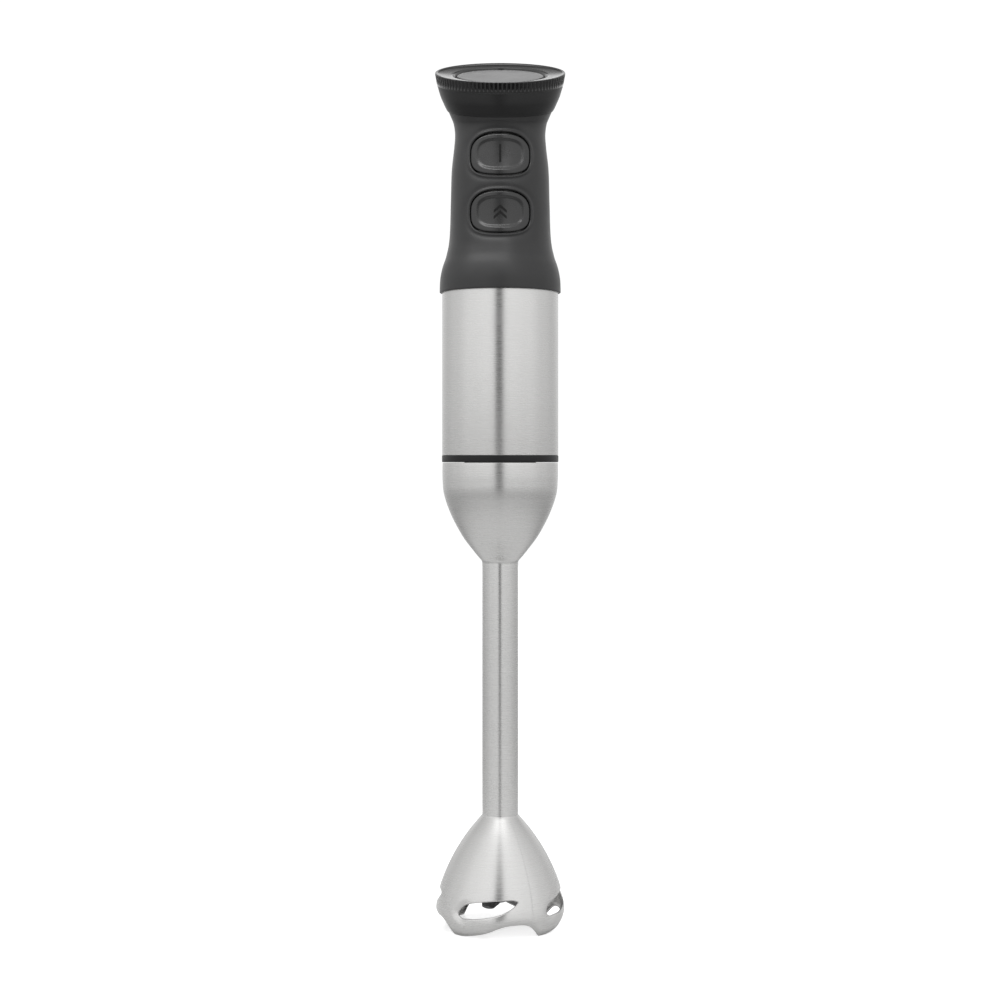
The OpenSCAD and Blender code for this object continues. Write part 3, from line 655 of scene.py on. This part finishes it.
def button_outline(zc, extra):
    """Button's edge, flatter below and arched above, in x and z."""
    a = np.linspace(0, 2 * math.pi, 240, endpoint=False)
    power = np.where(np.sin(a) > 0, 2.65, 3.1)
    x = np.sign(np.cos(a)) * abs(np.cos(a)) ** (2 / power) * BUTTON_W / 2
    z = np.sign(np.sin(a)) * abs(np.sin(a)) ** (2 / power) * BUTTON_H / 2
    line = even(np.stack([x, z + zc], 1), 0.4)
    return grow(line, extra)


# How deep the skin lies at each way from a button's hole: a rounded edge, a raised lip and a soft trough
HOLE_WAY = (0, 0.06, 0.16, 0.3, 0.48, 0.75, 1.1, 1.5, 2.0, 2.6, 3.4, 4.4)
HOLE_DEEP = (0.62, 0.4, 0.2, 0.07, 0.0, 0.04, 0.24, 0.4, 0.38, 0.2, 0.06, 0)
HOLE_RINGS = HOLE_WAY[:-2]
# The same for the cord's hole and for the shell's own edges
ROUND_WAY = (0, 0.1, 0.25, 0.5)
ROUND_DEEP = (0.35, 0.15, 0.05, 0)
EDGE_WAY = (0, 0.08, 0.2, 0.4)
SEAM_DEEP = (0.24, 0.1, 0.03, 0)
FOOT_DEEP = (0.3, 0.14, 0.04, 0)
HEAD_DEEP = (0.34, 0.16, 0.05, 0)
HOLE_REACH = 16


def grip_half(first, holes, round_hole):
    """Half shell of the grip over 180 degrees from first."""
    us = ticks(first * GRIP_MM, (first + 180) * GRIP_MM, 1.0, EDGE_WAY[1:])
    ts = ticks(Z_GRIP, Z_PART, 1.0, EDGE_WAY[1:])
    grid = np.array([(u, t) for u in us for t in ts])
    points, held, outlines, taken = [], [], [], 0
    for zc in holes:
        base = button_outline(zc, GAP)
        for d in HOLE_RINGS:
            ring = grow(base, d)
            phi = np.degrees(np.arcsin(ring[:, 0] / grip_r(ring[:, 1])))
            ring = np.stack([phi * GRIP_MM, ring[:, 1]], 1)
            if d == 0:
                held.append(list(range(taken, taken + len(ring))))
                outlines.append(ring)
            points.append(ring)
            taken += len(ring)
    for u0, t0, radius in round_hole:
        a = np.linspace(0, 2 * math.pi, 72, endpoint=False)
        for d in (*ROUND_WAY, 0.9):
            ring = np.stack([u0 + (radius + d) * np.cos(a), t0 + (radius + d) * np.sin(a)], 1)
            if d == 0:
                held.append(list(range(taken, taken + len(ring))))
                outlines.append(ring)
            points.append(ring)
            taken += len(ring)
    if outlines:
        clear = np.min([distance(grid, line) for line in outlines], axis=0)
        grid = grid[clear > (3.1 if holes else 1.4)]
    points = np.vstack(points + [grid]) if points else grid

    def keep(centre):
        """True outside the holes."""
        good = np.ones(len(centre), bool)
        for line in outlines:
            good &= distance(centre, line) > 0
        return good

    tri = triangles(points, held, keep)
    u, t = points[:, 0], points[:, 1]
    dive = np.zeros(len(points))
    for d in (u - us[0], us[-1] - u):
        dive = np.maximum(dive, np.interp(d, EDGE_WAY, SEAM_DEEP))
    dive = np.maximum(dive, np.interp(t - Z_GRIP, EDGE_WAY, FOOT_DEEP))
    dive = np.maximum(dive, np.interp(Z_PART - t, EDGE_WAY, HEAD_DEEP))
    weight = np.zeros(len(points))
    x = grip_r(t) * np.sin(np.radians(u / GRIP_MM))
    for zc in holes:
        d = distance(np.stack([x, t], 1), button_outline(zc, GAP))
        here = abs(t - zc) < HOLE_REACH
        dive = np.maximum(dive, np.interp(d, HOLE_WAY, HOLE_DEEP) * here)
        weight = np.maximum(weight, np.clip(1 - d / HOLE_RINGS[-1], 0, 1) * here)
    for line in outlines[len(holes):]:
        d = distance(points, line)
        dive = np.maximum(dive, np.interp(d, ROUND_WAY, ROUND_DEEP))
    phi = u / GRIP_MM
    outer = grip_skin(phi, t, dive)
    inset = np.where(t < Z_GRIP + 3.5, np.maximum(grip_r(t) - SLEEVE_R, 0.4), WALL)
    straight = np.degrees(np.arcsin(np.clip(x / (grip_r(t) - inset), -1, 1)))
    inner = grip_skin(np.where(weight > 0, phi + weight * (straight - phi), phi), t, inset)
    return sheet(outer, inner, tri)


front_half = grip_half(-90, (ON_Z, TURBO_Z), ())
rear_half = grip_half(90, (), ((180 * GRIP_MM, INLET_Z, 5.1),))
make("grip_front", *front_half, "motor_unit", "soft_touch", ["handle_front_shell"])
make("grip_rear", *rear_half, "motor_unit", "soft_touch", ["handle_rear_shell"])


# ---------------------------------------------------------------- buttons
# Half width and half height of the thumb rest, and the power that squares its outline
OVAL = (11.7, 7.6)
SQUARE = 2.9
# How far the cap's top, its body and its flange lie inside the grip's surface
FLUSH, CAP_IN, FLANGE_IN = 0.3, 2.2, 3.3
# How far the flange reaches past the cap's edge
FLANGE_W = 1.6
# Rings of points inside the cap's edge, how far each one drops, and the rings round the thumb rest's ledge
CAP_RINGS = (0, 0.07, 0.18, 0.34, 0.55, 0.85, 1.25)
CAP_EDGE = (0.5, 0.3, 0.15, 0.06, 0.01, 0, 0)
REST_RINGS = (1.02, 1.0, 0.985, 0.97, 0.95, 0.93, 0.91, 0.89, 0.87, 0.845, 0.82, 0.795, 0.77)
POST_R, POST_REAR = 1.5, -8.8


def cap_point(x, z, inset):
    """Points inset mm inside the grip's surface, at x and z on its front."""
    r = grip_r(z) - inset
    return np.stack([x, -np.sqrt(r ** 2 - x ** 2), z], 1)


def oval(x, z, zc):
    """1 on the edge of the thumb rest, 0 at its centre."""
    wide, tall = abs(x / OVAL[0]), abs((z - zc) / OVAL[1])
    return (wide ** SQUARE + tall ** SQUARE) ** (1 / SQUARE)


def dish(x, z, zc):
    """How far the thumb rest sinks into a button: a soft ledge all round and a shallow bowl."""
    e = oval(x, z, zc)
    up = np.clip((z - zc) / OVAL[1], -1, 1)
    width = 0.2 - 0.02 * up
    return (0.52 + 0.1 * up) * ease(1.0 - e, 0, width) + 0.5 * np.clip(1 - e ** 2, 0, 1)


def button(name, zc):
    """A cap with a rounded edge and a thumb rest, a flange behind it and a post to the switch."""
    outline = button_outline(zc, 0)
    count = len(outline)
    rings = [grow(outline, -d) for d in CAP_RINGS]
    a = np.linspace(0, 2 * math.pi, 150, endpoint=False)
    fit = (abs(np.cos(a)) ** SQUARE + abs(np.sin(a)) ** SQUARE) ** (-1 / SQUARE)
    ovals = [np.stack([OVAL[0] * e * fit * np.cos(a), zc + OVAL[1] * e * fit * np.sin(a)], 1)
             for e in REST_RINGS]
    xs = np.arange(-BUTTON_W / 2, BUTTON_W / 2, 0.55)
    zs = np.arange(-BUTTON_H / 2, BUTTON_H / 2, 0.55)
    grid = np.array([(x, zc + z) for x in xs for z in zs])
    e = oval(grid[:, 0], grid[:, 1], zc)
    grid = grid[(distance(grid, outline) < -1.55) & ((e > 1.05) | (e < 0.74))]
    points = np.vstack(rings + ovals + [grid])
    tri = triangles(points, [list(range(count))], lambda c: distance(c, outline) < 0)
    d = -distance(points, outline)
    x, z = points[:, 0], points[:, 1]
    under = grow(outline, FLANGE_W)
    levels = [cap_point(*outline.T, CAP_IN), cap_point(*under.T, CAP_IN), cap_point(*under.T, FLANGE_IN)]
    faces = [tuple(t) for t in tri]
    verts = [*cap_point(x, z, FLUSH + np.interp(d, CAP_RINGS, CAP_EDGE) + dish(x, z, zc))]
    before = list(range(count))
    for level in levels:
        now = list(range(len(verts), len(verts) + count))
        verts += [*level]
        for k in range(count):
            faces.append((before[k], now[k], now[(k + 1) % count], before[(k + 1) % count]))
        before = now
    back = np.vstack([under] + [grow(under, -s) for s in (1.5, 3, 4.5, 6, 7.5)])
    rear = triangles(back, [list(range(count))], lambda c: distance(c, under) < 0)
    verts += [*cap_point(*back.T, FLANGE_IN)]
    start = before[0] + count
    faces += [tuple(int(i) + start for i in t[::-1]) for t in rear]
    post_front = 4.0 - float(grip_r(zc))
    post, sides = lathe([(0, POST_REAR), (POST_R, POST_REAR), (POST_R, post_front), (0, post_front)], 32)
    post = [(p[0], p[2], zc + p[1]) for p in post]
    make(name + "_cap", *join((verts, faces), (post, sides)), name, "button_plastic", [name])


button("on_button", ON_Z)
button("turbo_button", TURBO_Z)


def mark(name, body, zc, outlines):
    """Printed mark that follows a button's face, from outlines in x and z round its centre."""
    parts = []
    for outline in outlines:
        line = even(np.array(outline, float) + [0, zc], 0.25)
        n = len(line)
        tri = triangles(line, [list(range(n))], lambda c, line=line: distance(c, line) < 0)
        x, z = line.T
        face = FLUSH + dish(x, z, zc)
        parts.append(sheet(cap_point(x, z, face - 0.05), cap_point(x, z, face + 0.12), tri))
    make(name, *join(*parts), body, "rubber")


bar = [(-0.5, -4.3), (0.5, -4.3), (0.5, 4.3), (-0.5, 4.3)]
chevron = [(-3, 0), (0, 2.6), (3, 0), (3, 1.35), (0, 3.95), (-3, 1.35)]
two_chevrons = [[(x, z + shift) for x, z in chevron] for shift in (-3.4, -0.6)]
mark("on_mark", "on_button", ON_Z + 0.4, [bar])
mark("turbo_mark", "turbo_button", TURBO_Z, two_chevrons)


# ---------------------------------------------------------------- button springs
# The wire, its turns and the points on each, and the room left before the cap
WIRE_R, WIRE_SIDES = 0.35, 10
TURNS, STEPS = 6.5, 32
SPRING_GAP = 0.25


def spring(name, node):
    """Wire spring with closed end turns, from the switch to the cap."""
    front, rear = low(node), high(node)
    r = (rear[0] - front[0]) / 2 - WIRE_R
    length = rear[1] - front[1] - SPRING_GAP
    t = np.linspace(0, TURNS, int(STEPS * TURNS) + 1)
    along = np.interp(t, (0, 1, TURNS - 1, TURNS), (0, 0.09, 0.91, 1)) * (length - 2 * WIRE_R)
    a = 2 * math.pi * t[:, None]
    b = np.linspace(0, 2 * math.pi, WIRE_SIDES, endpoint=False)
    out = r + WIRE_R * np.cos(b)
    y = rear[1] - WIRE_R - along[:, None] + WIRE_R * np.sin(b)
    z = (front[2] + rear[2]) / 2 + out * np.sin(a)
    verts = np.stack([out * np.cos(a), y, z], 2).reshape(-1, 3)
    count = len(verts)
    ends = [tuple(range(WIRE_SIDES)), tuple(range(count - 1, count - 1 - WIRE_SIDES, -1))]
    faces = rows(len(t), WIRE_SIDES, closed=False) + ends
    obj = make(name, verts, faces, "motor_unit", "spring_steel", [node])
    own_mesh(obj)


spring("on_spring", "on_button_spring")
spring("turbo_spring", "turbo_button_spring")


# ---------------------------------------------------------------- collar and dial
def tilted(section, around):
    """Closed section of circles, each (y, z, radius, lean in degrees), swept round the axis."""
    s = np.array(section, float)
    a = np.linspace(0, 2 * math.pi, around, endpoint=False)[:, None]
    lean = np.radians(s[:, 3])
    verts = np.stack([s[:, 2] * np.cos(a), s[:, 0] + s[:, 2] * np.sin(a) * np.cos(lean),
                      s[:, 1] + s[:, 2] * np.sin(a) * np.sin(lean)], 2).reshape(-1, 3)
    return verts, rows(around, len(s))


# Height of the ribbed band, its ribs with the points on each and their depth, and the disc
BAND_H = 5.4
RIBS, RIB_STEPS, RIB_DEEP = 96, 12, 0.75
DISC_R = 20.6
TILT_DEG = math.degrees(TILT)
DIAL = Matrix.Translation(DIAL_AT.tolist()) @ Matrix.Rotation(TILT, 4, "X")


def in_dial(r, w):
    """A circle of the dial's own axis, w above its top, as a tilted circle."""
    return DIAL_AT[1] - w * math.sin(TILT), DIAL_AT[2] + w * math.cos(TILT), r, TILT_DEG


def collar():
    """The flared collar, from the grip's level circle to the dial's leaning one, open inside for the knob."""
    y1, z1 = in_dial(0, -BAND_H - 0.2)[:2]
    line = curve([(f * y1, Z_PART + f * (z1 - Z_PART), r, TILT_DEG - 3 + 3 * f) for f, r in (
        (0, 24.9), (0.1, 25.7), (0.32, 27), (0.54, 28.2), (0.76, 29.1), (1, 29.95))], 8)
    foot, head = line[0], line[-1]
    rows_out = [foot + [0, 0.12, -0.55, 0], foot + [0, 0.16, -0.22, 0], foot + [0, 0.3, 0.02, 0], *line[1:-1],
                head + [0, -0.2, 0.0, 0], head + [0, 0.02, -0.02, 0], head + [0, 0.05, -0.3, 0]]
    inside = [in_dial(27.9, -BAND_H - 0.25), in_dial(27.7, -7.5), in_dial(4, -7.5), in_dial(4, -9),
              in_dial(26.9, -9), *(line[6:-12:4][::-1] - [0, 0, WALL, 0]), foot + [0, 0.12, -WALL, 0]]
    return tilted([*rows_out, *inside], 192)


# The collar's colour is a darker copy of the grip's soft-touch black: painted shade for the collar, which faces
# down. Its lower roughness is gloss of its own.
shaded_collar_look = moulded("collar_shaded_black", (0.011, 0.011, 0.0113), 0.34, height=4e-6, Specular_IOR_Level=0.28)
make("collar", *collar(), "motor_unit", "soft_touch", ["dial_collar"], look=shaded_collar_look)


def dial_ring():
    """The ribbed band with the sloping face inside it."""
    band = [(30.1 + 0.9 * (w + BAND_H) / BAND_H, w) for w in np.linspace(-BAND_H + 0.15, -0.45, 18)]
    outline = [(30.02, -BAND_H - 0.1), (30.08, -BAND_H)] + band + [
        (30.93, -0.2), (30.78, -0.05), (30.6, 0), (30.2, 0), (30.02, -0.06), (29.92, -0.25), (29.7, -0.42),
        (28.5, -0.62), (26.5, -0.86), (24.5, -1.04), (23.4, -1.1), (22.9, -1.17), (22.6, -1.3), (22.4, -1.6),
        (22.1, -2.3), (21.8, -2.58), (DISC_R + 0.05, -2.6), (3, -2.6), (3, -BAND_H), (6, -BAND_H), (6, -4.4),
        (28, -4.4), (28, -BAND_H)]
    line = np.array(outline)
    a = np.linspace(0, 2 * math.pi, RIBS * RIB_STEPS, endpoint=False)[:, None]
    wave = (0.5 + 0.5 * np.cos(RIBS * a)) ** 1.6
    in_band = (line[:, 0] > 30.1) & (line[:, 1] < -0.1)
    fade = ease(line[:, 1], -BAND_H + 0.1, -BAND_H + 2.6) * ease(-line[:, 1], 0.15, 0.5)
    r = line[:, 0] - wave * RIB_DEEP * fade * in_band
    verts = np.stack([r * np.cos(a), r * np.sin(a), np.broadcast_to(line[:, 1], r.shape)], 2).reshape(-1, 3)
    return [DIAL @ Vector(v) for v in verts], rows(len(a), len(line))


make("dial_ring", *dial_ring(), "dial", "dial_black", ["speed_dial_ring"])


def dial_face():
    """The disc, with a small pointer notch in its edge."""
    line = np.vstack([[0, -1.7], *[[r, -1.7] for r in (6, 12, 17, 19, 20)],
                      [[DISC_R - 0.25, -1.73], [DISC_R - 0.1, -1.85], [DISC_R - 0.03, -2.6], [0, -2.6]]])
    verts, faces = lathe(line, 360)
    turn = np.degrees(np.arctan2(verts[:, 1], verts[:, 0]))
    r = np.hypot(verts[:, 0], verts[:, 1])
    cut = np.clip(1 - abs(turn - 88.5) / 3.2, 0, 1) * ease(r, 17, 20) * 1.9
    verts[:, :2] *= (1 - cut / np.maximum(r, 1e-6))[:, None]
    return [DIAL @ Vector(v) for v in verts], faces


make("dial_face", *dial_face(), "dial", "dial_gloss", ["dial_disc"])

# ---------------------------------------------------------------- cord inlet
inlet, sides = lathe(fillet([
    (3.5, 17.4, 0.2), (7, 17.4, 0.3), (7, 19.2, 0.2), (5, 19.2, 0), (5, 24.4, 0.2), (4.4, 24.5, 0.1),
    (4.4, 25.4, 0.1), (5, 25.5, 0.2), (5, 26.9, 0.2), (4.4, 27, 0.1), (4.4, 27.9, 0.1), (5, 28, 0.2),
    (4.7, 29.4, 0.5), (3.5, 29.4, 0.3)]), 96)
inlet = [(p[0], p[2], INLET_Z + p[1]) for p in inlet]
make("cord_grommet", inlet, sides, "motor_unit", "rubber", ["cord_inlet"])


# ---------------------------------------------------------------- floor, light and camera
def floor():
    """Floor with a painted pool of light, lighter near the object and darker further out. It glows from itself for
    the camera, and glows under the bell's mouth as painted light on the bell's inside.
    """
    size = 3.0
    corners = [(-size, -size, 0), (size, -size, 0), (size, size, 0), (-size, size, 0)]
    mesh = bpy.data.meshes.new("floor")
    mesh.from_pydata(corners, [], [(0, 1, 2, 3)])
    obj = bpy.data.objects.new("floor", mesh)
    bpy.context.collection.objects.link(obj)
    m = Nodes("floor")
    away = m.add("ShaderNodeVectorMath", operation="LENGTH")
    m.link(m.place, away.inputs[0])
    # Painted pool of light: the floor's colour is 0.78 within 0.2 m of the middle and falls to 0.4 by 0.45 m out.
    painted_pool_tint = m.tint(m.spread(away.outputs["Value"], 0, 1, 0.2, 0.45), (0.78, 0.78, 0.78), (0.4, 0.4, 0.4))
    paper = m.add("ShaderNodeMix", data_type="RGBA", blend_type="MULTIPLY")
    paper.inputs["Factor"].default_value = 1
    m.link(painted_pool_tint, paper.inputs[MIX_A])
    m.link(m.tint(m.noise(3), (0.97, 0.97, 0.97), (1, 1, 1)), paper.inputs[MIX_B])
    m.into(paper.outputs[MIX_OUT], "Base Color")
    # Painted light: besides its glow for the camera, the floor glows for all rays within 22 mm of the axis, fading
    # out by 27 mm, to light the bell's inside.
    glow = m.add("ShaderNodeMath", operation="MAXIMUM")
    m.link(m.add("ShaderNodeLightPath").outputs["Is Camera Ray"], glow.inputs[0])
    m.link(m.spread(away.outputs["Value"], 1, 0, 0.022, 0.027), glow.inputs[1])
    m.into(glow.outputs[0], "Emission Strength")
    m.set(Roughness=0.2, Specular_IOR_Level=0.3, Emission_Color=(0.62, 0.62, 0.62, 1))
    mesh.materials.append(m.material)


def studio():
    """A white room, darker in a narrow strip at the camera, as a steel tube reflects it."""
    world = bpy.data.worlds.new("studio")
    bpy.context.scene.world = world
    world.use_nodes = True
    tree = world.node_tree
    back = tree.nodes["Background"]
    place = tree.nodes.new("ShaderNodeTexCoord").outputs["Generated"]
    split = tree.nodes.new("ShaderNodeSeparateXYZ")
    tree.links.new(place, split.inputs[0])

    def maths(kind, a, b=None):
        """One sum of two numbers or sockets."""
        node = tree.nodes.new("ShaderNodeMath")
        node.operation = kind
        for socket, value in zip(node.inputs, (a, b)):
            if isinstance(value, (int, float)):
                socket.default_value = value
            elif value is not None:
                tree.links.new(value, socket)
        return node.outputs[0]

    def table(value, stops):
        """A smooth table of greys over 0 to 180 degrees, which the ramp holds at half size."""
        ramp = tree.nodes.new("ShaderNodeValToRGB")
        ramp.color_ramp.interpolation = "EASE"
        while len(ramp.color_ramp.elements) < len(stops):
            ramp.color_ramp.elements.new(0.5)
        for element, (angle, grey) in zip(ramp.color_ramp.elements, stops):
            element.position = angle / 180
            element.color = (grey / 2, grey / 2, grey / 2, 1)
        tree.links.new(maths("DIVIDE", value, math.pi), ramp.inputs["Fac"])
        return ramp.outputs["Color"]

    def blend(a, b, share):
        """From a to b by share."""
        node = tree.nodes.new("ShaderNodeMix")
        node.data_type = "RGBA"
        for number, value in ((MIX_A, a), (MIX_B, b), (0, share)):
            tree.links.new(value, node.inputs[number])
        return node.outputs[MIX_OUT]

    turn = maths("ARCTAN2", split.outputs["X"], maths("MULTIPLY", split.outputs["Y"], -1))
    turn = maths("ABSOLUTE", maths("ADD", turn, math.radians(1.8)))
    lift = maths("ADD", maths("ARCSINE", split.outputs["Z"]), math.pi / 2)
    walls = table(turn, ((0, 1.25), (25, 1.22), (60, 1.14), (95, 0.9), (130, 0.74), (180, 0.76)))
    height = table(lift, ((0, 0.3), (50, 0.5), (80, 1.0), (105, 1.0), (120, 1.0), (135, 0.98), (156, 1.05),
                          (166, 2.2), (180, 2.4)))
    rear = table(lift, ((0, 0.4), (80, 0.9), (106, 1.25), (116, 1.2), (122, 0.35), (132, 0.12), (144, 0.4),
                        (154, 2.2), (180, 2.4)))
    behind = table(turn, ((0, 0), (125, 0), (160, 2), (180, 2)))
    strip = table(turn, ((0, 2), (4.5, 1.95), (10, 0.2), (16, 0), (90, 0), (180, 0)))
    reach = table(lift, ((0, 0.6), (70, 1.8), (112, 1.85), (130, 1.0), (160, 0.6), (180, 0)))
    room = maths("MULTIPLY", maths("MULTIPLY", walls, blend(height, rear, behind)), 2)
    sky = maths("MULTIPLY", room, maths("SUBTRACT", 1, maths("MULTIPLY", strip, reach)))
    mix = tree.nodes.new("ShaderNodeMix")
    mix.data_type = "RGBA"
    mix.inputs[MIX_B].default_value = (0.52, 0.52, 0.52, 1)
    tree.links.new(tree.nodes.new("ShaderNodeLightPath").outputs["Is Camera Ray"], mix.inputs[0])
    tree.links.new(sky, mix.inputs[MIX_A])
    tree.links.new(mix.outputs[MIX_OUT], back.inputs["Color"])
    back.inputs["Strength"].default_value = 2.0


def camera():
    """A level camera in front, a little above the middle."""
    data = bpy.data.cameras.new("camera")
    data.lens = 68.47
    data.sensor_width = 36
    data.shift_x = -0.0007
    data.shift_y = -0.0405
    data.clip_start = 0.01
    obj = bpy.data.objects.new("camera", data)
    bpy.context.collection.objects.link(obj)
    obj.location = (0, -0.9008, 0.2208)
    obj.rotation_euler = (math.radians(90), 0, 0)
    bpy.context.scene.camera = obj


def brow_lamp(names):
    """Wide soft lamp above the camera that only these pieces see."""
    data = bpy.data.lights.new("brow_lamp", "AREA")
    data.shape = "RECTANGLE"
    data.size = 1.0
    data.size_y = 0.12
    data.energy = 2.4
    obj = bpy.data.objects.new("brow_lamp", data)
    bpy.context.collection.objects.link(obj)
    obj.location = (-0.22, -0.40, 0.82)
    aim = Vector((0, 0, 0.33)) - obj.location
    obj.rotation_euler = aim.to_track_quat("-Z", "Y").to_euler()
    obj.visible_camera = False
    lit = bpy.data.collections.new("lit_by_brow_lamp")
    for name in names:
        lit.objects.link(bpy.data.objects[name])
    obj.light_linking.receiver_collection = lit


floor()
studio()
brow_lamp(("grip_front", "on_button_cap", "turbo_button_cap"))
camera()
bpy.context.scene.view_settings.view_transform = "Standard"
